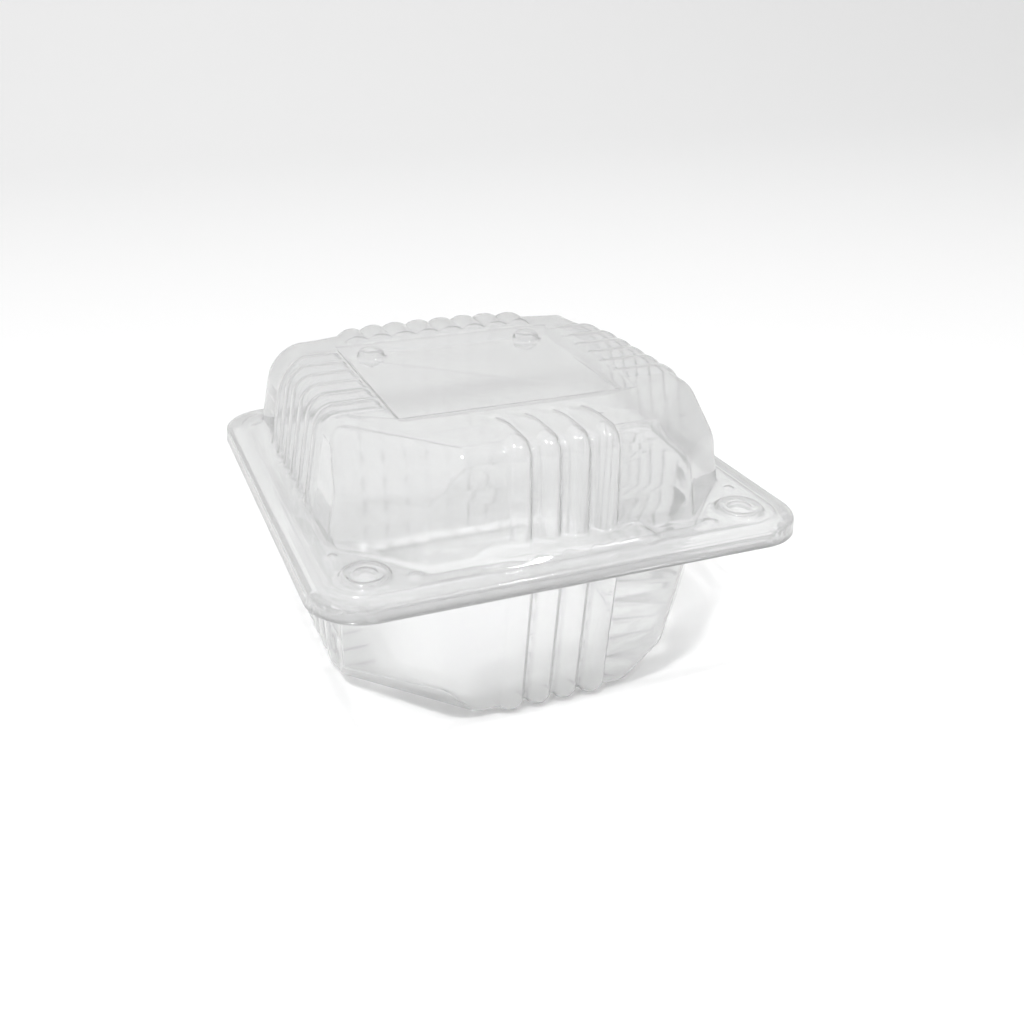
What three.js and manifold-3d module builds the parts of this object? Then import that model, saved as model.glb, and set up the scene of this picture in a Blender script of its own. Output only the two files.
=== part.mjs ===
// A clear hinged fruit box, shut: a base and a lid, each formed from one thin plastic sheet,
// joined by a hinge bead along the back. Millimetres, +Z up, the front faces -Y, and the
// origin is the middle of the box on the surface that it stands on.
import * as THREE from "three";
import { mergeVertices } from "three/addons/utils/BufferGeometryUtils.js";
import Module from "manifold-3d";

const wasm = await Module();
wasm.setup();

// Driving dimensions. Heights of a half are measured away from its rim plane.
const SHEET = 0.5; // thickness of the formed sheet
const NEST_GAP = 0.35; // clear space between the lid's rim and the base's rim
const BASE_DEPTH = 50.2; // rim plane down to the lowest flute crest

const RIM_HALF = 65.2; // half the width and half the depth of the lid's rim
const RIM_CORNER = 14; // plan radius of the rim's corners
const SKIRT_DROP = 4.6; // rim plane down to the skirt's cut edge
const SKIRT_FLARE = 0.4; // how far the skirt leans out at its cut edge
const RIM_ROUND = 0.8; // radius between the rim and its skirt
const LIP_WIDTH = 4.8; // lower strip along the rim's outer edge
const LIP_STEP = 0.6; // how far that strip lies below the rim plane

// The flutes of each wall: rise is how far a crest stands out from the plain wall, and sink how
// far the valley between two of them lies behind it. Width is the share of the pitch that a
// flute takes up.
const FRONT_FLUTES = { count: 4, pitch: 7.75, middle: 0, rise: 1.6, sink: 0.6, width: 0.84 };
const SIDE_FLUTES = { count: 6, pitch: 8.2, middle: 7, rise: 1.2, sink: 0.1, width: 0.9 };
const BACK_FLUTES = { count: 8, pitch: 7.5, middle: 0, rise: 1.6, sink: -0.4, width: 1 };
const FLUTE_SAMPLES = [-0.4, -0.15, 0.15, 0.4]; // places across a flute, as shares of its width

// The walls of a half: distance of each wall from the middle at the foot, how far it leans in
// for each millimetre of height, and where the cut front corners start on the front wall (cutX)
// and on the side wall (cutY) at the foot, at the shoulder and at the crown edge. backRound is
// the plan radius of the back corners, on the walls and on the crown. The flats are the outlines
// on the crown, going in: the last full flute height, the flutes' ends, then the sunk panel.
const LID = {
  height: 26.8,
  crownRound: 4.2,
  foot: { front: 53.0, side: 55.2, back: 55.7 },
  lean: { front: 0.075, side: 0.185, back: 0.115 },
  corners: [
    { z: 0, cutX: 36.2, cutY: 34.8 },
    { z: 16.2, cutX: 34.1, cutY: 32.5 },
    { z: 25.6, cutX: 24.5, cutY: 22.5 },
  ],
  backRound: { wall: 8, crown: 17 },
  flats: [
    { front: 41.0, side: 36.5, back: 39.0, cut: 12, round: 8, flutes: 1, sunk: 0 },
    { front: 29.0, side: 34.6, back: 36.7, cut: 5, round: 6, flutes: 0, sunk: 0 },
    { front: 25.0, side: 34.0, back: 36.0, cut: 4, round: 5, flutes: 0, sunk: 0 },
    { front: 22.5, side: 31.5, back: 30.0, cut: 4, round: 4, flutes: 0, sunk: 2.0 },
  ],
};
const BASE = {
  height: BASE_DEPTH - FRONT_FLUTES.rise,
  crownRound: 2.0,
  foot: { front: 55.2, side: 53.2, back: 54.2 },
  lean: { front: 0.1, side: 0.05, back: 0.07 },
  corners: [
    { z: 0, cutX: 36.0, cutY: 35.0 },
    { z: 37.3, cutX: 31.0, cutY: 31.0 },
    { z: 48.5, cutX: 20.6, cutY: 21.5 },
  ],
  backRound: { wall: 12, crown: 18 },
  flats: [
    { front: 46.5, side: 40.5, back: 46.5, cut: 20, round: 10, flutes: 1, sunk: 0 },
    { front: 43.8, side: 37.8, back: 43.8, cut: 20, round: 9, flutes: 0, sunk: 0 },
    { front: 41.0, side: 34.5, back: 41.0, cut: 17.5, round: 7, flutes: 0, sunk: 2.4 },
  ],
};

const BUTTON = { x: 50.7, y: -52.0, radius: 6.4, rise: 1.3, groove: 0.6, dome: 1.9 };
const NUB = { x: 24.7, y: 29.3, radius: 3.8, top: 27.2, chamfer: 0.6 };
const DIMPLES = [
  { x: 55.5, y: -39.9, radius: 1.4, rise: 0.7 },
  { x: 39.5, y: -55.9, radius: 2.2, rise: 0.9 },
  { x: 54.8, y: -17.3, radius: 1.4, rise: 0.7 },
];
const FRONT_LEDGE = { rise: 2.0, halfWidth: 20.5, reach: 59.0, slopeX: 3.6, slopeY: 2.4, round: 3.5 };
const SIDE_LEDGE = { rise: 2.0, from: -12.0, to: 47.0, reach: 58.2, slopeX: 1.6, slopeY: 5.0, round: 2 };

const HINGE_RADIUS = 0.6; // bead that the lid turns about
const HINGE_HALF = 46; // half the length of the hinge

// Fineness of the round stretches.
const CORNER_STEPS = 4;
const CROWN_STEPS = 2;
const ROW_MARGIN = 0.6;
const ROUND_SEGMENTS = 12;

const SIDES = [-1, 1];

// ---------------------------------------------------------------- solids and booleans

// Closed solid from rings of points that all have the same count, lowest ring first.
// Each end is closed by a fan to its own middle point.
function ringSolid(rings) {
  const count = rings[0].length;
  const positions = rings.flat().flatMap((p) => [p.x, p.y, p.z]);
  const indices = [];
  for (let level = 0; level + 1 < rings.length; level++) {
    for (let i = 0; i < count; i++) {
      const a = level * count + i;
      const b = level * count + ((i + 1) % count);
      indices.push(a, b, b + count, a, b + count, a + count);
    }
  }
  const last = (rings.length - 1) * count;
  for (const [start, flip] of [[0, true], [last, false]]) {
    const middle = new THREE.Vector3();
    const ring = start ? rings[rings.length - 1] : rings[0];
    ring.forEach((p) => middle.addScaledVector(p, 1 / count));
    const hub = positions.length / 3;
    positions.push(middle.x, middle.y, middle.z);
    for (let i = 0; i < count; i++) {
      const pair = [start + i, start + ((i + 1) % count)];
      indices.push(hub, ...(flip ? pair.reverse() : pair));
    }
  }
  const geometry = new THREE.BufferGeometry();
  geometry.setAttribute("position", new THREE.Float32BufferAttribute(positions, 3));
  geometry.setIndex(indices);
  return toManifold(geometry);
}

function toManifold(geometry) {
  const bare = geometry.clone();
  bare.deleteAttribute("normal");
  bare.deleteAttribute("uv");
  const merged = mergeVertices(bare, 1e-4);
  return new wasm.Manifold(
    new wasm.Mesh({
      numProp: 3,
      vertProperties: new Float32Array(merged.attributes.position.array),
      triVerts: new Uint32Array(merged.index.array),
    }),
  );
}

function toGeometry(solid) {
  const mesh = solid.getMesh();
  const geometry = new THREE.BufferGeometry();
  geometry.setAttribute("position", new THREE.BufferAttribute(mesh.vertProperties, 3));
  geometry.setIndex(new THREE.BufferAttribute(mesh.triVerts, 1));
  geometry.computeVertexNormals();
  return geometry;
}

const joined = (solids) => solids.reduce((whole, solid) => whole.add(solid));

// Turns a geometry over, rim plane kept, so that a half built upwards hangs downwards.
function flipped(geometry) {
  const turned = geometry.clone();
  turned.applyMatrix4(new THREE.Matrix4().makeScale(1, 1, -1));
  const index = turned.index.array;
  for (let i = 0; i < index.length; i += 3) [index[i], index[i + 1]] = [index[i + 1], index[i]];
  turned.computeVertexNormals();
  return turned;
}

// The same rings moved in along the surface's own normals, by the sheet's thickness.
function inset(rings, depth) {
  const count = rings[0].length;
  return rings.map((ring, level) =>
    ring.map((point, i) => {
      const above = rings[Math.min(level + 1, rings.length - 1)][i];
      const below = rings[Math.max(level - 1, 0)][i];
      const along = new THREE.Vector3()
        .subVectors(ring[(i + 1) % count], ring[(i + count - 1) % count])
        .normalize();
      const up = new THREE.Vector3().subVectors(above, below).normalize();
      return point.clone().addScaledVector(along.cross(up).normalize(), -depth);
    }),
  );
}

// ---------------------------------------------------------------- outlines

// Outline of a rounded square or rectangle at height z.
function roundedOutline(halfX, halfY, radius, z) {
  const points = [];
  for (let corner = 0; corner < 4; corner++) {
    const signX = corner === 0 || corner === 3 ? 1 : -1;
    const signY = corner < 2 ? 1 : -1;
    for (let k = 0; k <= CORNER_STEPS; k++) {
      const angle = ((corner + k / CORNER_STEPS) * Math.PI) / 2;
      const x = signX * (halfX - radius) + radius * Math.cos(angle);
      const y = signY * (halfY - radius) + radius * Math.sin(angle);
      points.push(new THREE.Vector3(x, y, z));
    }
  }
  return points;
}

// Places across a row of flutes, with how far the wall stands out at each.
function fluteRow({ count, pitch, middle, rise, sink, width }) {
  const bulge = (share) => Math.sqrt(Math.cos(share * Math.PI));
  const crest = Math.max(...FLUTE_SAMPLES.map(bulge));
  const row = [];
  for (let i = 0; i < count; i++) {
    const centre = middle + (i - (count - 1) / 2) * pitch;
    row.push([centre - pitch / 2, i ? -sink : 0]);
    for (const share of FLUTE_SAMPLES) {
      const atEnd = (i === 0 && share < 0) || (i === count - 1 && share > 0);
      const valley = atEnd ? 0 : sink;
      const place = centre + share * width * pitch;
      row.push([place, -valley + ((rise + valley) * bulge(share)) / crest]);
    }
  }
  row.push([middle + (count / 2) * pitch, 0]);
  return row;
}

// A row squeezed evenly into the room between two corners, where it would reach past them.
function fitRow(row, low, high) {
  const first = row[0][0];
  const last = row[row.length - 1][0];
  const from = Math.max(first, low + ROW_MARGIN);
  const to = Math.min(last, high - ROW_MARGIN);
  return row.map(([place, rise]) => {
    return [THREE.MathUtils.mapLinear(place, first, last, from, to), rise];
  });
}

// Three points that round the corner at `corner`, from the side of `before` to that of `after`.
function softCorner(before, corner, after, length = 2) {
  const start = corner.clone().addScaledVector(before.clone().sub(corner).normalize(), length);
  const end = corner.clone().addScaledVector(after.clone().sub(corner).normalize(), length);
  const middle = corner.clone().multiplyScalar(0.5).addScaledVector(start, 0.25);
  return [start, middle.addScaledVector(end, 0.25), end];
}

// One ring of a half. `wall` gives the distances of the walls, `cut` where the front corners
// are cut, `tilt` the direction in which the flutes stand out, from 0 (out) to a right angle (up).
function fluteRing({ wall, cut, backRound, z, tilt, flutes }) {
  const out = Math.cos(tilt) * flutes;
  const up = Math.sin(tilt) * flutes;
  const at = (x, y) => new THREE.Vector3(x, y, z);
  const right = [];
  const frontCut = at(cut.cutX, -wall.front);
  const sideCut = at(wall.side, -cut.cutY);
  right.push(...softCorner(at(0, -wall.front), frontCut, sideCut));
  right.push(...softCorner(frontCut, sideCut, at(wall.side, 0)));
  const sideRow = fitRow(fluteRow(SIDE_FLUTES), 2 - cut.cutY, wall.back - backRound);
  for (const [y, rise] of sideRow) {
    right.push(new THREE.Vector3(wall.side + rise * out, y, z + rise * up));
  }
  for (let k = 0; k <= CORNER_STEPS; k++) {
    const angle = ((k / CORNER_STEPS) * Math.PI) / 2;
    const x = wall.side - backRound * (1 - Math.cos(angle));
    right.push(at(x, wall.back - backRound * (1 - Math.sin(angle))));
  }
  const frontRow = fitRow(fluteRow(FRONT_FLUTES), 2 - cut.cutX, cut.cutX - 2);
  const front = frontRow.map(
    ([x, rise]) => new THREE.Vector3(x, -wall.front - rise * out, z + rise * up),
  );
  const backRow = fitRow(fluteRow(BACK_FLUTES), backRound - wall.side, wall.side - backRound);
  const back = backRow.map(
    ([x, rise]) => new THREE.Vector3(x, wall.back + rise * out, z + rise * up),
  );
  const left = right.map((p) => new THREE.Vector3(-p.x, p.y, p.z)).reverse();
  return [...front, ...right, ...back.reverse(), ...left];
}

// ---------------------------------------------------------------- the two halves

const wallAt = ({ foot, lean }, z, inward = 0) => ({
  front: foot.front - lean.front * z - inward,
  side: foot.side - lean.side * z - inward,
  back: foot.back - lean.back * z - inward,
});

// Where the flat face of a cut corner meets the front and the side wall at height z, once the
// crown's round has drawn both walls in by `inward`.
function cutAt(half, z, inward = 0) {
  const [foot, shoulder, edge] = half.corners;
  const [low, high] = z < shoulder.z ? [foot, shoulder] : [shoulder, edge];
  const share = (z - low.z) / (high.z - low.z);
  const cutX = THREE.MathUtils.lerp(low.cutX, high.cutX, share);
  const cutY = THREE.MathUtils.lerp(low.cutY, high.cutY, share);
  const wall = wallAt(half, z);
  const slope = (wall.side - cutX) / (wall.front - cutY);
  return { cutX: cutX + inward * slope, cutY: cutY + inward / slope };
}

// Rings of a half's bowl, from its foot over the crown edge to the floor of the sunk panel.
function bowlRings(half) {
  const { height, crownRound, corners, backRound, flats } = half;
  const wallRing = (z, tilt, inward, round) => {
    const shape = { wall: wallAt(half, z, inward), cut: cutAt(half, z, inward), z, tilt };
    return fluteRing({ ...shape, backRound: round, flutes: 1 });
  };
  const rings = [0, corners[1].z].map((z) => wallRing(z, 0, 0, backRound.wall));
  for (let k = 0; k <= CROWN_STEPS; k++) {
    const share = k / CROWN_STEPS;
    const tilt = (share * Math.PI) / 2;
    const z = height - crownRound * (1 - Math.sin(tilt));
    const round = THREE.MathUtils.lerp(backRound.wall, backRound.crown, share);
    rings.push(wallRing(z, tilt, crownRound * (1 - Math.cos(tilt)), round));
  }
  for (const wall of flats) {
    const cut = { cutX: wall.side - wall.cut, cutY: wall.front - wall.cut };
    const shape = { wall, cut, backRound: wall.round, tilt: Math.PI / 2 };
    rings.push(fluteRing({ ...shape, z: height - wall.sunk, flutes: wall.flutes }));
  }
  return rings;
}

// The bowl as a solid that starts at height `from`, under or over the rim plane.
function bowl(half, depth, from) {
  const rings = inset(bowlRings(half), depth);
  rings[0].forEach((p) => (p.z = from));
  return ringSolid(rings);
}

// The rim's slab from its cut edge up to its face. `shrink` moves every face in.
function rimSlab(shrink, below) {
  const face = -LIP_STEP - shrink;
  const radius = RIM_CORNER - shrink;
  const half = RIM_HALF - shrink;
  const round = RIM_ROUND * (1 - Math.SQRT1_2);
  const flare = (z) => (SKIRT_FLARE * -z) / SKIRT_DROP;
  const outline = (by, z) => roundedOutline(by, by, radius - half + by, z);
  return ringSolid([
    outline(half + flare(-below), -below),
    outline(half + flare(face - RIM_ROUND), face - RIM_ROUND),
    outline(half - round, face - round),
    outline(half - RIM_ROUND, face),
  ]);
}

// The raised middle of the rim, inside the lower lip.
function rimField(shrink, below) {
  const half = RIM_HALF - LIP_WIDTH - shrink;
  const wide = half + LIP_STEP / 2;
  const radius = RIM_CORNER - LIP_WIDTH;
  return ringSolid([
    roundedOutline(wide, wide, radius, -below),
    roundedOutline(wide, wide, radius, -LIP_STEP - shrink),
    roundedOutline(half, half, radius, -shrink),
  ]);
}

// A round feature on the rim, from the [radius, height] pairs of its face, from its foot to its
// middle. The face is moved in by `depth` and drawn down to `below` the rim plane.
function turned(face, x, y, depth, below, segments = ROUND_SEGMENTS) {
  const moved = face.map(([r, z], i) => {
    const [r0, z0] = face[Math.max(i - 1, 0)];
    const [r1, z1] = face[Math.min(i + 1, face.length - 1)];
    const length = Math.hypot(r1 - r0, z1 - z0);
    return [Math.max(r - ((z1 - z0) / length) * depth, 0), z + ((r1 - r0) / length) * depth];
  });
  moved[moved.length - 1][0] = 0;
  const profile = [[0, -below], [moved[0][0], -below], ...moved];
  const points = profile.map(([r, z]) => new THREE.Vector2(r, z));
  const geometry = new THREE.LatheGeometry(points, segments);
  geometry.rotateX(Math.PI / 2);
  geometry.translate(x, y, 0);
  return toManifold(geometry);
}

// Press button: a raised ring, a groove inside it and a dome in the middle.
function buttons(depth, below) {
  const { radius, rise, groove, dome } = BUTTON;
  const face = [
    [radius, 0],
    [radius - 0.7, rise],
    [radius - 1.9, rise],
    [radius - 2.6, groove],
    [radius - 3.2, groove],
    [radius - 4.4, dome - 0.3],
    [0, dome],
  ];
  return SIDES.map((side) => turned(face, side * BUTTON.x, BUTTON.y, depth, below));
}

// A low round lug at each back corner of the lid's sunk panel.
function nubs(depth, below) {
  const { radius, top, chamfer } = NUB;
  const face = [[radius, LID.height - LID.crownRound], [radius, top - chamfer]];
  face.push([radius - chamfer, top], [0, top]);
  return SIDES.map((side) => turned(face, side * NUB.x, NUB.y, depth, below, 8));
}

function dimples(depth, below) {
  return DIMPLES.flatMap(({ x, y, radius, rise }) => {
    const face = [[radius, 0], [radius * 0.6, rise * 0.8], [0, rise]];
    return SIDES.map((side) => turned(face, side * x, y, depth, below, 8));
  });
}

// A ledge beside the bowl: a plateau with sloped sides, over the rim's raised field.
function ledge(halfX, halfY, round, rise, slope, x, y, shrink, below) {
  const outline = (grow, z) => {
    const wide = roundedOutline(halfX + grow.x - shrink, halfY + grow.y - shrink, round, z);
    wide.forEach((p) => p.add(new THREE.Vector3(x, y, 0)));
    return wide;
  };
  const flat = new THREE.Vector2(0, 0);
  return ringSolid([outline(slope, -below), outline(slope, -shrink), outline(flat, rise - shrink)]);
}

function ledges(shrink, below) {
  const { rise, halfWidth, reach, slopeX, slopeY, round } = FRONT_LEDGE;
  const inner = 40; // under the bowl, well inside its wall
  const slope = new THREE.Vector2(slopeX, slopeY);
  const front = ledge(
    halfWidth, (reach - inner) / 2, round, rise, slope, 0, -(reach + inner) / 2, shrink, below,
  );
  const side = SIDE_LEDGE;
  const middle = (side.from + side.to) / 2;
  const sideSlope = new THREE.Vector2(side.slopeX, side.slopeY);
  return [
    front,
    ...SIDES.map((sign) =>
      ledge(
        (side.reach - inner) / 2, (side.to - side.from) / 2, side.round, side.rise, sideSlope,
        (sign * (side.reach + inner)) / 2, middle, shrink, below,
      ),
    ),
  ];
}

// Everything under the lid's upper face, or under its lower face when depth is the sheet.
function lidForm(depth, below) {
  return joined([
    rimSlab(depth, below),
    rimField(depth, below),
    bowl(LID, depth, -below),
    ...ledges(depth, below),
    ...buttons(depth, below),
    ...dimples(depth, below),
    ...nubs(depth, below),
  ]);
}

function lidGeometry() {
  const cutAway = SKIRT_DROP + 1;
  return toGeometry(lidForm(0, SKIRT_DROP).subtract(lidForm(SHEET, cutAway)));
}

// The base's rim nests inside the lid's, so its upper face is the lid's face moved in by the
// sheet and the gap. The base's bowl hangs below the rim and is open through it.
function baseGeometry() {
  const nested = SHEET + NEST_GAP;
  const cutAway = SKIRT_DROP + 1;
  const rimForm = (depth, below) =>
    joined([rimSlab(depth, below), rimField(depth, below), ...buttons(depth, below)]);
  const rim = rimForm(nested, SKIRT_DROP).subtract(rimForm(nested + SHEET, cutAway));
  const hang = (solid) => toManifold(flipped(toGeometry(solid)));
  const outside = hang(bowl(BASE, 0, nested + SHEET / 2));
  const inside = hang(bowl(BASE, SHEET, -cutAway));
  return toGeometry(rim.add(outside).subtract(inside));
}

function hingeGeometry() {
  const bead = new THREE.CylinderGeometry(HINGE_RADIUS, HINGE_RADIUS, 2 * HINGE_HALF, 12);
  bead.rotateZ(Math.PI / 2);
  const y = RIM_HALF + SKIRT_FLARE - HINGE_RADIUS;
  bead.translate(0, y, -SKIRT_DROP - NEST_GAP - HINGE_RADIUS);
  return bead;
}

function clearPlastic(name) {
  return new THREE.MeshStandardMaterial({
    name,
    color: 0xeef1f2,
    roughness: 0.08,
    metalness: 0,
    transparent: true,
    opacity: 0.35,
  });
}

function piece(name, geometry) {
  const mesh = new THREE.Mesh(geometry, clearPlastic(name));
  mesh.name = name;
  mesh.position.z = BASE_DEPTH;
  return mesh;
}

const box = new THREE.Group();
box.add(piece("lid", lidGeometry()));
box.add(piece("base", baseGeometry()));
box.add(piece("hinge_bead", hingeGeometry()));

export default box;
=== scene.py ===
"""A clear hinged fruit box, shut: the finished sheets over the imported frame.

The lid and the base are each one thin formed sheet. Each is described by a signed field (below
zero inside the form), read out as a surface net, thinned, and given its thickness.
Lengths in the fields are millimetres, measured from the rim plane, +Z up, front at -Y.
"""

import math

import bmesh
import bpy
import numpy as np
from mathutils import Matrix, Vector


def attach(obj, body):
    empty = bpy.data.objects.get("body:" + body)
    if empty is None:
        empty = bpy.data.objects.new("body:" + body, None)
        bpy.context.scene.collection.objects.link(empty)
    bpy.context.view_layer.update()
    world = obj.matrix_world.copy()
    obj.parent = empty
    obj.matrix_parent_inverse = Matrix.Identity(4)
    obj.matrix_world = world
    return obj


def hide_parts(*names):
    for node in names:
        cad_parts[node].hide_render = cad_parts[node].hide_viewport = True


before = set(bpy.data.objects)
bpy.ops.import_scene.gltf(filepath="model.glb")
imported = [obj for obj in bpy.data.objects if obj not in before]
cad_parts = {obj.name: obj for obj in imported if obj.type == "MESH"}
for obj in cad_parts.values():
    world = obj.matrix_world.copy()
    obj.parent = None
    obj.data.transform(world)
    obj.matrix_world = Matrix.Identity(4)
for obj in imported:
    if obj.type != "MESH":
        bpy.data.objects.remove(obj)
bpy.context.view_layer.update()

MM = 0.001

# ------------------------------------------------------------------ sizes, as in the solids

# The sheet is a little thinner here than in the solids. The base's rim lies NEST below the lid's.
SHEET = 0.42
SOLID_SHEET = 0.5
NEST_GAP = 0.35
NEST = SOLID_SHEET + NEST_GAP
BASE_DEPTH = 50.2

RIM_HALF = 65.2
RIM_CORNER = 14.0
SKIRT_DROP = 4.6
SKIRT_FLARE = 0.4
RIM_ROUND = 0.8
LIP_WIDTH = 4.8
LIP_STEP = 0.6
LIP_SLOPE = 0.5
LIP_ROUND = 0.35

# The flutes of each wall: how far a crest stands out, how far the valley between two of them
# lies back, and the share of the pitch that a flute takes up. Where they die away on the crown
# is given with each half, as flute_ends. VALLEY_SOFT rounds the bottom of the valleys.
FRONT_FLUTES = {"count": 4, "pitch": 7.75, "middle": 0.0, "rise": 1.6, "sink": 0.6, "width": 0.84}
SIDE_FLUTES = {"count": 6, "pitch": 8.2, "middle": 7.0, "rise": 1.2, "sink": 0.1, "width": 0.9}
BACK_FLUTES = {"count": 8, "pitch": 7.5, "middle": 0.0, "rise": 1.6, "sink": -0.4, "width": 1.0}
VALLEY_SOFT = 0.06
PANEL_MITRE = 0.25

# Each half's bowl: feet and leans of its walls, and the cut corners as (height, x where the cut
# leaves the front wall, -y where it leaves the side wall), from the rim to the crown. The crown's
# round grows by corner_extra towards the back corners, over CORNER_SPREAD from corner_from.
CORNER_SPREAD = 25
LID = {
    "height": 26.8,
    "crown_round": 4.2,
    "corner_extra": 6.5,
    "corner_from": 64.0,
    "edge_round": 1.0,
    "foot": {"front": 53.0, "side": 55.2, "back": 55.7},
    "lean": {"front": 0.075, "side": 0.185, "back": 0.115},
    "corners": [(0.0, 36.2, 34.8), (16.2, 34.1, 32.5), (25.6, 24.5, 22.5)],
    "back_round": 8.0,
    "flute_ends": {"front": (29.0, 41.0), "side": (34.0, 36.5), "back": (36.5, 39.0)},
    "panel_edge": {"front": 25.0, "side": 34.0, "back": 36.0, "cut": 60.0},
    "panel_floor": {"front": 22.5, "side": 31.5, "back": 30.0, "cut": 54.0},
    "panel_depth": 2.0,
}
BASE = {
    "height": BASE_DEPTH - FRONT_FLUTES["rise"],
    "crown_round": 2.0,
    "corner_extra": 4.0,
    "corner_from": 64.0,
    "edge_round": 1.0,
    "foot": {"front": 55.2, "side": 53.2, "back": 54.2},
    "lean": {"front": 0.1, "side": 0.05, "back": 0.07},
    "corners": [(0.0, 36.0, 35.0), (37.3, 31.0, 31.0), (48.5, 20.6, 21.5)],
    "back_round": 12.0,
    "flute_ends": {"front": (44.0, 46.5), "side": (38.0, 40.5), "back": (44.0, 46.5)},
    "panel_edge": {"front": 43.5, "side": 37.5, "back": 43.5, "cut": 61.6},
    "panel_floor": {"front": 41.0, "side": 34.5, "back": 41.0, "cut": 58.0},
    "panel_depth": 2.4,
}

# A press button's place and heights, and its ring's half width and how flat the ring is.
BUTTON = {
    "x": 50.7, "y": -52.0, "radius": 6.4, "rise": 1.3, "groove": 0.6, "dome": 1.9,
    "ring": 1.25, "squash": 0.9, "dome_inset": 3.1, "dome_sunk": 0.3, "join": 0.4,
}
NUB = {"x": 24.7, "y": 29.3, "radius": 3.8, "top": 27.2, "round": 1.4}
# Dimples as (x, y, radius, rise), on both sides.
DIMPLES = [(55.5, -39.9, 1.4, 0.7), (39.5, -55.9, 2.2, 0.9), (54.8, -17.3, 1.4, 0.7)]
# The ledges: their tops' extent, and how far their sides run out for each millimetre of drop.
FRONT_LEDGE = {"rise": 2.0, "half_width": 20.5, "reach": 59.0, "slope_x": 1.8, "slope_y": 1.2}
SIDE_LEDGE = {"rise": 2.0, "from": -12.0, "to": 47.0, "reach": 58.2, "slope_x": 0.8, "slope_y": 2.5}
LEDGE_ROOT = 40.0
LEDGE_ROUND = 2.5
LEDGE_EDGE = 0.45
# Radius of the round where each form meets what carries it; mouth is the base's inner edge.
JOINS = {"ledge": 0.25, "button": 0.5, "dimple": 0.4, "nub": 1.2, "bowl": 0.9, "mouth": 1.2}

# ------------------------------------------------------------------ fields


def both(a, b, radius):
    """Inside a and inside b, with the edge between them rounded."""
    u = np.maximum(a + radius, 0)
    v = np.maximum(b + radius, 0)
    return np.minimum(np.maximum(a, b), -radius) + np.hypot(u, v)


def either(a, b, radius):
    """Inside a or inside b, with the corner between them filled by a round."""
    return -both(-a, -b, radius)


def smooth_step(low, high, value):
    """Rises from 0 at low to 1 at high, level at both ends."""
    t = np.clip((value - low) / (high - low), 0, 1)
    return t * t * (3 - 2 * t)


def rounded_box(x, y, half_x, half_y, radius):
    """Distance in plan to a rectangle with round corners."""
    qx = np.abs(x) - (half_x - radius)
    qy = np.abs(y) - (half_y - radius)
    outside = np.hypot(np.maximum(qx, 0), np.maximum(qy, 0))
    return outside + np.minimum(np.maximum(qx, qy), 0) - radius


def plane(x, y, z, a, b, c):
    """Distance to the plane through three points, positive on the side away from the middle."""
    a, b, c = (np.array(p, float) for p in (a, b, c))
    normal = np.cross(b - a, c - a)
    normal /= np.linalg.norm(normal)
    offset = normal @ a
    if offset < 0:
        normal, offset = -normal, -offset
    return x * normal[0] + y * normal[1] + z * normal[2] - offset


def flutes(place, reach, row, ends):
    """How far a row of flutes stands out. Place runs across them and reach towards the wall."""
    across = (place - row["middle"]) / row["pitch"] + row["count"] / 2
    local = across - np.clip(np.floor(across), 0, row["count"] - 1) - 0.5
    away = np.minimum(np.abs(local) / row["width"], 0.5)
    wave = (np.cos(np.pi * away) ** 2 + VALLEY_SOFT**2) ** 0.25 - VALLEY_SOFT**0.5
    wave /= (1 + VALLEY_SOFT**2) ** 0.25 - VALLEY_SOFT**0.5
    between = (across > 0.5) & (across < row["count"] - 0.5)
    sink = np.where(between, row["sink"], 0.0)
    fade = smooth_step(*ends, reach)
    return fade * (wave * (row["rise"] + sink) - sink)


def bowl(x, y, z, half):
    """A half's bowl: leaning walls, cut front corners, round crown edge, flutes and sunk panel."""
    foot, lean, edge = half["foot"], half["lean"], half["edge_round"]
    ax = np.abs(x)
    front = (-y - foot["front"] + lean["front"] * z) / math.hypot(1, lean["front"])
    side = (ax - foot["side"] + lean["side"] * z) / math.hypot(1, lean["side"])
    back = (y - foot["back"] + lean["back"] * z) / math.hypot(1, lean["back"])

    def cut_ends(corner):
        height, cut_x, cut_y = corner
        front_end = (cut_x, -(foot["front"] - lean["front"] * height), height)
        return front_end, (foot["side"] - lean["side"] * height, -cut_y, height)

    low, middle, high = (cut_ends(corner) for corner in half["corners"])
    cut = plane(ax, y, z, *low, middle[0])
    facet = plane(ax, y, z, *middle, high[0])
    wall = both(both(side, back, half["back_round"]), front, edge)
    crown = z - half["height"] + panel_sink(ax, y, half)
    at_corner = smooth_step(0, CORNER_SPREAD, ax + y - half["corner_from"])
    form = both(wall, crown, half["crown_round"] + half["corner_extra"] * at_corner)
    form = both(form, both(cut, facet, edge), edge)
    ends = half["flute_ends"]
    form = form - flutes(x, -y, FRONT_FLUTES, ends["front"])
    form = form - flutes(x, y, BACK_FLUTES, ends["back"])
    return form - flutes(y, ax, SIDE_FLUTES, ends["side"])


def panel_sink(ax, y, half):
    """Depth of the sunk panel under the crown."""
    edge, floor = half["panel_edge"], half["panel_floor"]
    reach = {"front": -y, "side": ax, "back": y, "cut": ax - y}
    share = 1.0
    for way in reach:
        slope = (edge[way] - reach[way]) / (edge[way] - floor[way])
        share = -both(-share, -slope, PANEL_MITRE)
    share = np.clip(share, 0, 1)
    return half["panel_depth"] * smooth_step(0, 1, share)


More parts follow.
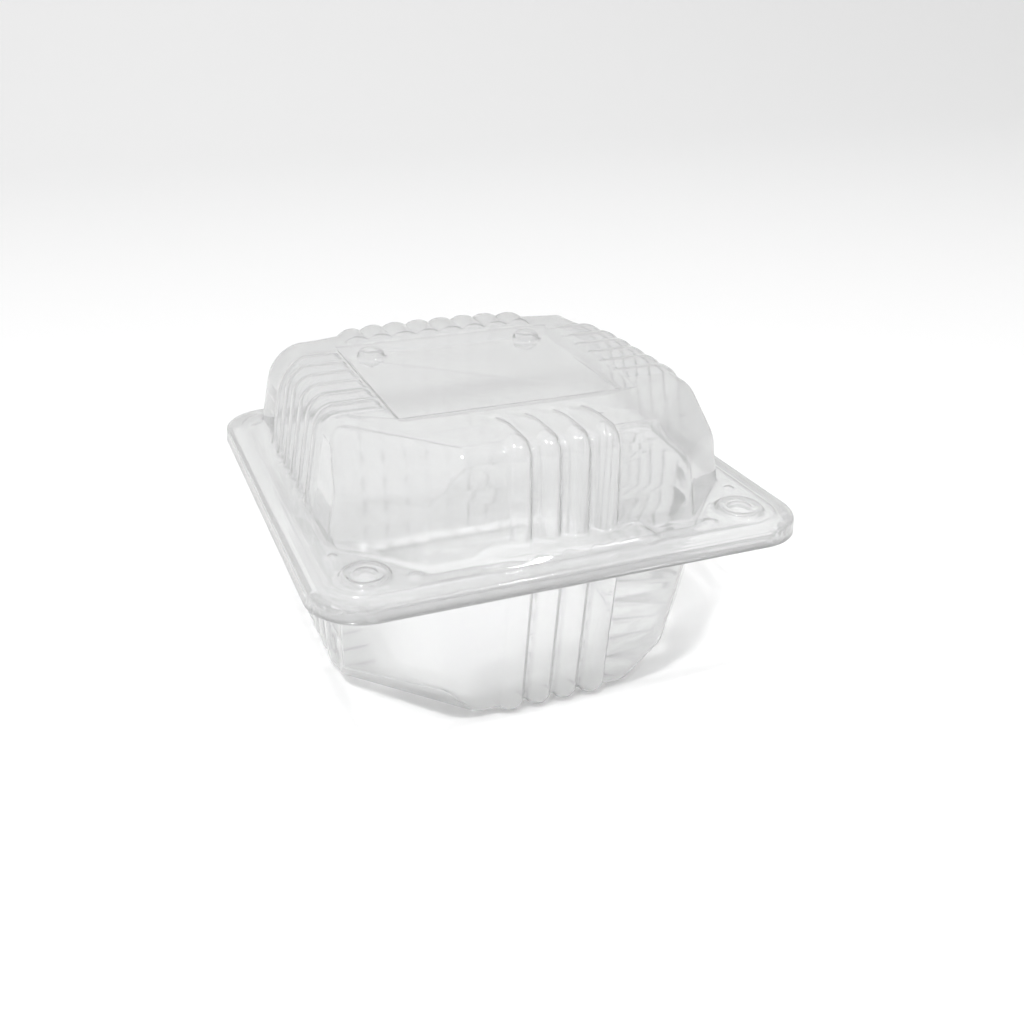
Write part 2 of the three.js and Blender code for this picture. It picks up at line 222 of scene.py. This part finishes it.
def rim(x, y, z):
    """The flat rim with its lower lip, down to the skirt."""
    plan = rounded_box(x, y, RIM_HALF, RIM_HALF, RIM_CORNER)
    skirt = plan + z * SKIRT_FLARE / SKIRT_DROP
    slab = both(skirt, z + LIP_STEP, RIM_ROUND)
    inner_half = RIM_HALF - LIP_WIDTH
    inner = rounded_box(x, y, inner_half, inner_half, RIM_CORNER - LIP_WIDTH)
    raised = both((inner + LIP_SLOPE * z) / math.hypot(1, LIP_SLOPE), z, LIP_ROUND)
    return either(slab, raised, LIP_ROUND)


def button(x, y, z):
    """A press button on each front corner: a raised ring, a groove and a dome."""
    across = np.hypot(np.abs(x) - BUTTON["x"], y - BUTTON["y"])
    radius, groove, join = BUTTON["radius"], BUTTON["groove"], BUTTON["join"]
    width, squash = BUTTON["ring"], BUTTON["squash"]
    ring = np.hypot(across - radius + width, (z - BUTTON["rise"] + width * squash) / squash)
    ring = ring - width
    floor = both(across - radius + width, z - groove, join)
    dome_radius, sunk = radius - BUTTON["dome_inset"], BUTTON["dome_sunk"]
    dome_height = BUTTON["dome"] - groove + sunk
    dome = np.hypot(across / dome_radius, (z - groove + sunk) / dome_height)
    dome = (dome - 1) * dome_height
    return either(either(ring, floor, join), dome, join)


def dimples(x, y, z):
    """Small caps of balls on the rim."""
    ax = np.abs(x)
    form = np.full_like(z, np.inf)
    for px, py, radius, rise in DIMPLES:
        bulge = (radius * radius + rise * rise) / (2 * rise)
        ball = np.sqrt((ax - px) ** 2 + (y - py) ** 2 + (z - rise + bulge) ** 2) - bulge
        form = np.minimum(form, ball)
    return form


def ledge(x, y, z, half_x, half_y, shape):
    """A plateau on the rim, with sides that slope as far as the rim's own plane."""
    under = shape["rise"] - z
    spread = np.minimum(under, shape["rise"])
    side_x = (np.abs(x) - half_x - shape["slope_x"] * spread) / math.hypot(1, shape["slope_x"])
    side_y = (np.abs(y) - half_y - shape["slope_y"] * spread) / math.hypot(1, shape["slope_y"])
    return both(both(side_x, side_y, LEDGE_ROUND), -under, LEDGE_EDGE)


def nubs(x, y, z):
    """A low round lug at each back corner of the lid's panel."""
    across = np.hypot(np.abs(x) - NUB["x"], y - NUB["y"])
    return both(across - NUB["radius"], z - NUB["top"], NUB["round"])


def ledges(x, y, z):
    """The front ledge and the two side ledges, each from under the bowl out to its reach."""
    root = LEDGE_ROOT
    shape = FRONT_LEDGE
    half_y = (shape["reach"] - root) / 2
    front = ledge(x, y + (shape["reach"] + root) / 2, z, shape["half_width"], half_y, shape)
    shape = SIDE_LEDGE
    half_x = (shape["reach"] - root) / 2
    half_y = (shape["to"] - shape["from"]) / 2
    middle = (shape["to"] + shape["from"]) / 2
    side = ledge(np.abs(x) - (shape["reach"] + root) / 2, y - middle, z, half_x, half_y, shape)
    return np.minimum(front, side)


def lid_form(x, y, z):
    """The lid as a solid under its outer surface."""
    form = either(rim(x, y, z), ledges(x, y, z), JOINS["ledge"])
    form = either(form, button(x, y, z), JOINS["button"])
    form = either(form, dimples(x, y, z), JOINS["dimple"])
    crown = either(bowl(x, y, z, LID), nubs(x, y, z), JOINS["nub"])
    return either(form, crown, JOINS["bowl"])


def base_form(x, y, z):
    """The base as the rim's solid with the bowl's inside taken out of it."""
    top = either(rim(x, y, z), button(x, y, z), JOINS["button"]) + NEST
    inside = bowl(x, y, -z, BASE) + SHEET
    return both(top, -inside, JOINS["mouth"])


# ------------------------------------------------------------------ surface nets

# The net's cell, the corner pairs that are a cell's edges, how flat a field may be taken to be,
# and how far a point may move in one round, in cells.
STEP = 0.62
FLATTEST = 0.05
LONGEST_MOVE = 0.4
EDGES = [(a, b) for a in range(8) for b in range(a + 1, 8) if bin(a ^ b).count("1") == 1]


def gradient(form, points):
    """The field's slope at some points, which points out of the form."""
    reach = 0.05
    tetra = np.array([(1, -1, -1), (-1, -1, 1), (-1, 1, -1), (1, 1, 1)], float)
    total = np.zeros_like(points)
    for corner in tetra:
        value = form(*(points + reach * corner).T)
        total += value[:, None] * corner
    return total / (4 * reach)


def settle(form, points, rounds=3):
    """Moves points on to the field's zero surface."""
    for _ in range(rounds):
        slope = gradient(form, points)
        steep = np.maximum((slope * slope).sum(1), FLATTEST)
        move = -(form(*points.T) / steep)[:, None] * slope
        length = np.linalg.norm(move, axis=1, keepdims=True)
        points = points + move * np.minimum(1, LONGEST_MOVE * STEP / np.maximum(length, 1e-9))
    return points


def surface_net(form, low, high, keep):
    """Points and quads of the field's zero surface in a box, where keep(x, y, z) is true."""
    axes = [np.arange(a, b + STEP, STEP, dtype=np.float32) for a, b in zip(low, high)]
    grid = np.meshgrid(*axes, indexing="ij")
    value = form(*grid).astype(np.float32)
    inside = value < 0
    shape = tuple(n - 1 for n in value.shape)
    corner_slices = []
    for corner in range(8):
        bits = [(corner >> axis) & 1 for axis in range(3)]
        corner_slices.append(tuple(slice(bit, bit + n) for bit, n in zip(bits, shape)))
    filled = sum(inside[piece].astype(np.int8) for piece in corner_slices)
    wanted = keep(*(g[corner_slices[0]] for g in grid))
    cells = np.argwhere((filled > 0) & (filled < 8) & wanted)
    number = np.full(shape, -1, np.int32)
    number[tuple(cells.T)] = np.arange(len(cells))
    offsets = np.array([[(corner >> axis) & 1 for axis in range(3)] for corner in range(8)])
    corners = np.stack([value[tuple((cells + o).T)] for o in offsets], 1)
    total = np.zeros((len(cells), 3))
    hits = np.zeros(len(cells))
    for a, b in EDGES:
        va, vb = corners[:, a], corners[:, b]
        crossed = (va < 0) != (vb < 0)
        t = np.where(crossed, va / np.where(crossed, va - vb, 1), 0)
        place = offsets[a] + t[:, None] * (offsets[b] - offsets[a])
        total += np.where(crossed[:, None], place, 0)
        hits += crossed
    points = np.array(low) + STEP * (cells + total / hits[:, None])
    quads = []
    for axis in range(3):
        u, v = (axis + 1) % 3, (axis + 2) % 3
        here = [slice(None)] * 3
        there = [slice(None)] * 3
        here[axis], there[axis] = slice(0, -1), slice(1, None)
        crossed = inside[tuple(here)] != inside[tuple(there)]
        edges = np.argwhere(crossed)
        edges = edges[(edges[:, u] > 0) & (edges[:, v] > 0)]
        edges = edges[(edges[:, u] < shape[u]) & (edges[:, v] < shape[v])]
        ring = []
        for du, dv in ((1, 1), (0, 1), (0, 0), (1, 0)):
            cell = edges.copy()
            cell[:, u] -= du
            cell[:, v] -= dv
            ring.append(number[tuple(cell.T)])
        quad = np.stack(ring, 1)
        outward = inside[tuple(edges.T)]
        quad[~outward] = quad[~outward][:, ::-1]
        quads.append(quad[(quad >= 0).all(1)])
    return points, np.concatenate(quads)


def mesh_object(name, points, faces):
    """An object with the given mesh, in the scene."""
    mesh = bpy.data.meshes.new(name)
    mesh.from_pydata(points.tolist(), [], faces)
    mesh.update()
    made = bpy.data.objects.new(name, mesh)
    bpy.context.scene.collection.objects.link(made)
    return made


def formed_sheet(name, form, low, high, keep, trims, faces_left):
    """One formed sheet: the field's surface, thinned, trimmed, and given the sheet's thickness.

    Each of the trims cuts off what lies below a level, on the faces that it reaches. The trimmed
    edge stays at its level, and the sheet is as thick there as elsewhere.
    """
    points, quads = surface_net(form, low, high, keep)
    points = settle(form, points)
    made = mesh_object(name, points, quads.tolist())
    thin = made.modifiers.new("thin", "DECIMATE")
    thin.ratio = min(1.0, faces_left / (2 * len(quads)))
    applied = made.evaluated_get(bpy.context.evaluated_depsgraph_get())
    shaped = bpy.data.meshes.new_from_object(applied)
    bpy.data.objects.remove(made)
    work = bmesh.new()
    work.from_mesh(shaped)
    for level, reaches in trims:
        geometry = [f for f in work.faces if reaches(f.calc_center_median())]
        verts = {v for f in geometry for v in f.verts}
        edges = {e for f in geometry for e in f.edges}
        bmesh.ops.bisect_plane(
            work, geom=[*geometry, *verts, *edges], plane_co=(0, 0, level), plane_no=(0, 0, -1),
            clear_outer=True, dist=1e-4,
        )
    loose = [v for v in work.verts if not v.link_faces]
    bmesh.ops.delete(work, geom=loose, context="VERTS")
    bmesh.ops.triangulate(work, faces=[f for f in work.faces if len(f.verts) > 3])
    work.verts.ensure_lookup_table()
    work.verts.index_update()
    outer = np.array([v.co for v in work.verts])
    border = [(e.link_loops[0].vert.index, e.link_loops[0].link_loop_next.vert.index)
              for e in work.edges if len(e.link_faces) == 1]
    faces = np.array([[v.index for v in f.verts] for f in work.faces])
    work.free()
    at_edge = np.isin(np.arange(len(outer)), np.array(border).ravel())
    settled = settle(form, outer, 2)
    outer = np.where(at_edge[:, None], outer, settled)
    slope = gradient(form, outer)
    normal = slope / np.linalg.norm(slope, axis=1, keepdims=True)
    level = normal.copy()
    level[:, 2] = 0
    level /= np.maximum(np.linalg.norm(level, axis=1, keepdims=True), 1e-6)
    normal = np.where(at_edge[:, None], level, normal)
    inner = outer - SHEET * normal
    count = len(outer)
    walls = [(b, a, a + count) for a, b in border] + [(b, a + count, b + count) for a, b in border]
    everything = np.concatenate([faces, faces[:, ::-1] + count, np.array(walls)])
    points = np.concatenate([outer, inner]) + np.array([0, 0, BASE_DEPTH])
    made = mesh_object(name, points * MM, everything.tolist())
    bpy.data.meshes.remove(shaped)
    made.data.shade_smooth()
    return made


# ------------------------------------------------------------------ materials

# Clarity is the share of light that goes through clear, where the rest is scattered by the milky
# haze. The haze varies the roughness and the tone, and the waves bend the view through the sheet.
PLASTIC_IOR = 1.5
SHEET_ROUGHNESS = 0.07
BEAD_ROUGHNESS = 0.1
LID_CLARITY = 0.83
BASE_CLARITY = 0.8
HAZE = {"scale": 90.0, "detail": 4.0, "clearest": 0.6, "roughest": 1.5, "darkest": 0.985}
WAVES = {"scale": 70.0, "detail": 2.0, "strength": 0.15, "distance": 0.0006}
# The lid and the base are one plastic, but the lid's tint is darker and the base's lighter: painted
# shade on the lid for the grey seen through it, and painted light on the base for the white floor
# seen through it.
LID_TINT_WITH_PAINTED_SHADE = (0.85, 0.852, 0.852)
BASE_TINT_WITH_PAINTED_LIGHT = (0.91, 0.912, 0.912)
SLANT_FROM = 0.4
SHADOW_CLEAR = 0.96
SHADOW_SLANTED = 0.1
# The vector sockets of a Map Range node share their names with the plain ones.
VECTOR_IN, VECTOR_LOW, VECTOR_HIGH = 6, 9, 10


def clear_plastic(name, tint_with_painted_shading, roughness, clarity):
    """Clear formed sheet: a faint milky haze and slight waviness, letting soft light through. Its
    tint holds painted light and shade as well as the plastic's own grey.
    """
    material = bpy.data.materials.new(name)
    material.use_nodes = True
    nodes, links = material.node_tree.nodes, material.node_tree.links
    shader = nodes["Principled BSDF"]
    shader.inputs["Transmission Weight"].default_value = clarity
    shader.inputs["IOR"].default_value = PLASTIC_IOR
    place = nodes.new("ShaderNodeTexCoord")
    haze = nodes.new("ShaderNodeTexNoise")
    haze.inputs["Scale"].default_value = HAZE["scale"]
    haze.inputs["Detail"].default_value = HAZE["detail"]
    links.new(place.outputs["Object"], haze.inputs["Vector"])
    spread = nodes.new("ShaderNodeMapRange")
    spread.inputs["To Min"].default_value = roughness * HAZE["clearest"]
    spread.inputs["To Max"].default_value = roughness * HAZE["roughest"]
    links.new(haze.outputs["Fac"], spread.inputs["Value"])
    links.new(spread.outputs["Result"], shader.inputs["Roughness"])
    tone = nodes.new("ShaderNodeMapRange")
    tone.data_type = "FLOAT_VECTOR"
    tone.inputs[VECTOR_LOW].default_value = tuple(HAZE["darkest"] * c for c in tint_with_painted_shading)
    tone.inputs[VECTOR_HIGH].default_value = tint_with_painted_shading
    links.new(haze.outputs["Fac"], tone.inputs[VECTOR_IN])
    links.new(tone.outputs["Vector"], shader.inputs["Base Color"])
    wave = nodes.new("ShaderNodeTexNoise")
    wave.inputs["Scale"].default_value = WAVES["scale"]
    wave.inputs["Detail"].default_value = WAVES["detail"]
    links.new(place.outputs["Object"], wave.inputs["Vector"])
    bump = nodes.new("ShaderNodeBump")
    bump.inputs["Strength"].default_value = WAVES["strength"]
    bump.inputs["Distance"].default_value = WAVES["distance"]
    links.new(wave.outputs["Fac"], bump.inputs["Height"])
    links.new(bump.outputs["Normal"], shader.inputs["Normal"])
    # Light on its way to a shadowed point goes straight through, as it does through thin sheet,
    # but less of it where it meets the sheet at a slant, as at the skirt and the round edges.
    path = nodes.new("ShaderNodeLightPath")
    slant = nodes.new("ShaderNodeLayerWeight")
    slant.inputs["Blend"].default_value = 0.5
    loss = nodes.new("ShaderNodeMapRange")
    loss.inputs["From Min"].default_value = SLANT_FROM
    loss.inputs["To Min"].default_value = SHADOW_CLEAR
    loss.inputs["To Max"].default_value = SHADOW_SLANTED
    links.new(slant.outputs["Facing"], loss.inputs["Value"])
    through = nodes.new("ShaderNodeBsdfTransparent")
    links.new(loss.outputs["Result"], through.inputs["Color"])
    mix = nodes.new("ShaderNodeMixShader")
    links.new(path.outputs["Is Shadow Ray"], mix.inputs["Fac"])
    links.new(shader.outputs["BSDF"], mix.inputs[1])
    links.new(through.outputs["BSDF"], mix.inputs[2])
    links.new(mix.outputs["Shader"], nodes["Material Output"].inputs["Surface"])
    return material


# ------------------------------------------------------------------ the pieces

# What the grids span, how far out the bowls reach below the rims, and the faces kept on each
# surface.
BOWL_REACH = 58
RIM_REACH = RIM_HALF + 2
UNDER_SKIRT = -SKIRT_DROP - 2 * STEP
ABOVE_RIM, ABOVE_LID = 3.0, 30.0
LID_FACES, BASE_FACES = 60000, 70000


def near_bowl(x, y, z):
    """Below the skirt only the bowl is kept."""
    return (z > UNDER_SKIRT) | (np.maximum(np.abs(x), np.abs(y)) < BOWL_REACH)


def anywhere(point):
    """The lid is trimmed all round: nothing of it lies below its skirt."""
    return True


def at_skirt(point):
    """The base is trimmed at its skirt alone, as its bowl goes on down."""
    return max(abs(point.x), abs(point.y)) > BOWL_REACH


lid = formed_sheet(
    "lid_sheet", lid_form, (-RIM_REACH, -RIM_REACH, UNDER_SKIRT), (RIM_REACH, RIM_REACH, ABOVE_LID),
    near_bowl, [(-SKIRT_DROP, anywhere)], LID_FACES,
)
base = formed_sheet(
    "base_sheet", base_form, (-RIM_REACH, -RIM_REACH, -BASE_DEPTH - 1),
    (RIM_REACH, RIM_REACH, ABOVE_RIM), near_bowl, [(-SKIRT_DROP, at_skirt)], BASE_FACES,
)
# The lid and the hinge bead take the darker tint with painted shade, and the base takes the lighter
# tint with painted light.
lid.data.materials.append(clear_plastic("lid_plastic", LID_TINT_WITH_PAINTED_SHADE, SHEET_ROUGHNESS, LID_CLARITY))
base.data.materials.append(clear_plastic("base_plastic", BASE_TINT_WITH_PAINTED_LIGHT, SHEET_ROUGHNESS, BASE_CLARITY))

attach(lid, "lid")
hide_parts("lid")
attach(base, "base")
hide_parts("base")
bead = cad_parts["hinge_bead"]
bead.data.materials.clear()
bead.data.materials.append(clear_plastic("hinge_plastic", LID_TINT_WITH_PAINTED_SHADE, BEAD_ROUGHNESS, LID_CLARITY))

# ------------------------------------------------------------------ floor, light and camera

# The floor runs from FLOOR["near"] back to a bend, which turns it up into the backdrop.
FLOOR = {"near": -2.0, "half_width": 4.0, "bend_at": 0.9, "bend": 0.5, "steps": 12, "wall": 0.9}
PAPER = {"tone": 0.97, "roughness": 0.9, "gloss": 0.1}

# The world's light has WORLD_LOW of its strength away from BRIGHT_WAY, and all of it where the
# cosine to that way reaches BRIGHT_FROM. Each key is (direction, power).
WORLD_STRENGTH = 0.86
WORLD_LOW = 0.62
BRIGHT_WAY = (-0.35, 0.1, 0.85)
BRIGHT_FROM = 0.75
KEYS = [((-0.28, -0.31, 0.90), 4.4), ((0.31, -0.45, 0.84), 1.6)]
KEY_SIZE = 0.09
KEY_DISTANCE = 1.2
KEY_TARGET = (0, 0, 0.05)
BOUNCES = 10


def stage_floor():
    """A pale floor that turns up into a backdrop far behind the box."""
    points, faces = [], []
    bend = FLOOR["bend"]
    profile = [(FLOOR["near"], 0.0)]
    for k in range(FLOOR["steps"] + 1):
        angle = k / FLOOR["steps"] * math.pi / 2
        profile.append((FLOOR["bend_at"] + bend * math.sin(angle), bend * (1 - math.cos(angle))))
    profile.append((FLOOR["bend_at"] + bend, FLOOR["wall"] + bend))
    for y, z in profile:
        points += [(-FLOOR["half_width"], y, z), (FLOOR["half_width"], y, z)]
    for k in range(len(profile) - 1):
        faces.append((2 * k, 2 * k + 1, 2 * k + 3, 2 * k + 2))
    floor = mesh_object("studio_floor", np.array(points), faces)
    floor.data.shade_smooth()
    material = bpy.data.materials.new("studio_paper")
    material.use_nodes = True
    shader = material.node_tree.nodes["Principled BSDF"]
    shader.inputs["Base Color"].default_value = (PAPER["tone"],) * 3 + (1,)
    shader.inputs["Roughness"].default_value = PAPER["roughness"]
    shader.inputs["Specular IOR Level"].default_value = PAPER["gloss"]
    floor.data.materials.append(material)


def area_light(name, place, target, size, power):
    """A rectangular light that faces its target."""
    light = bpy.data.lights.new(name, "AREA")
    light.shape = "RECTANGLE"
    light.size, light.size_y = size
    light.energy = power
    lamp = bpy.data.objects.new(name, light)
    bpy.context.scene.collection.objects.link(lamp)
    lamp.location = place
    lamp.rotation_euler = (Vector(target) - Vector(place)).to_track_quat("-Z", "Y").to_euler()


CAMERA = {
    "place": (-0.10609, -0.26202, 0.12521 + BASE_DEPTH * MM),
    "azimuth": 20.34,
    "elevation": 26.64,
    "sensor": 36.0,
    "lens": 37.746,
    "shift": 0.0547,
    "nearest": 0.01,
}


def camera():
    """The camera of the photograph, solved from straight edges and corners of the box."""
    data = bpy.data.cameras.new("camera")
    data.sensor_width = CAMERA["sensor"]
    data.lens = CAMERA["lens"]
    data.shift_x = CAMERA["shift"]
    data.clip_start = CAMERA["nearest"]
    made = bpy.data.objects.new("camera", data)
    made.location = CAMERA["place"]
    made.rotation_euler = (
        math.radians(90 - CAMERA["elevation"]), 0, math.radians(-CAMERA["azimuth"])
    )
    bpy.context.scene.collection.objects.link(made)
    bpy.context.scene.camera = made


def studio_world():
    """Even light as in a paper tent, brightest above and to the left, greyer low on the right."""
    world = bpy.data.worlds.new("studio")
    world.use_nodes = True
    nodes, links = world.node_tree.nodes, world.node_tree.links
    place = nodes.new("ShaderNodeTexCoord")
    towards = nodes.new("ShaderNodeVectorMath")
    towards.operation = "DOT_PRODUCT"
    towards.inputs[1].default_value = BRIGHT_WAY
    links.new(place.outputs["Generated"], towards.inputs[0])
    ramp = nodes.new("ShaderNodeValToRGB")
    ramp.color_ramp.elements[0].position = 0.0
    ramp.color_ramp.elements[0].color = (WORLD_LOW, WORLD_LOW, WORLD_LOW, 1)
    ramp.color_ramp.elements[1].position = BRIGHT_FROM
    ramp.color_ramp.elements[1].color = (1, 1, 1, 1)
    links.new(towards.outputs["Value"], ramp.inputs["Fac"])
    background = nodes["Background"]
    links.new(ramp.outputs["Color"], background.inputs["Color"])
    background.inputs["Strength"].default_value = WORLD_STRENGTH
    bpy.context.scene.world = world


stage_floor()
for count, (direction, power) in enumerate(KEYS):
    place = Vector(direction) * KEY_DISTANCE
    area_light(f"key_{count}", place, KEY_TARGET, (KEY_SIZE, KEY_SIZE), power)
camera()
studio_world()
scene = bpy.context.scene
scene.view_settings.view_transform = "Standard"
scene.cycles.max_bounces = BOUNCES
scene.cycles.transmission_bounces = BOUNCES
scene.cycles.glossy_bounces = 6
scene.cycles.transparent_max_bounces = 16
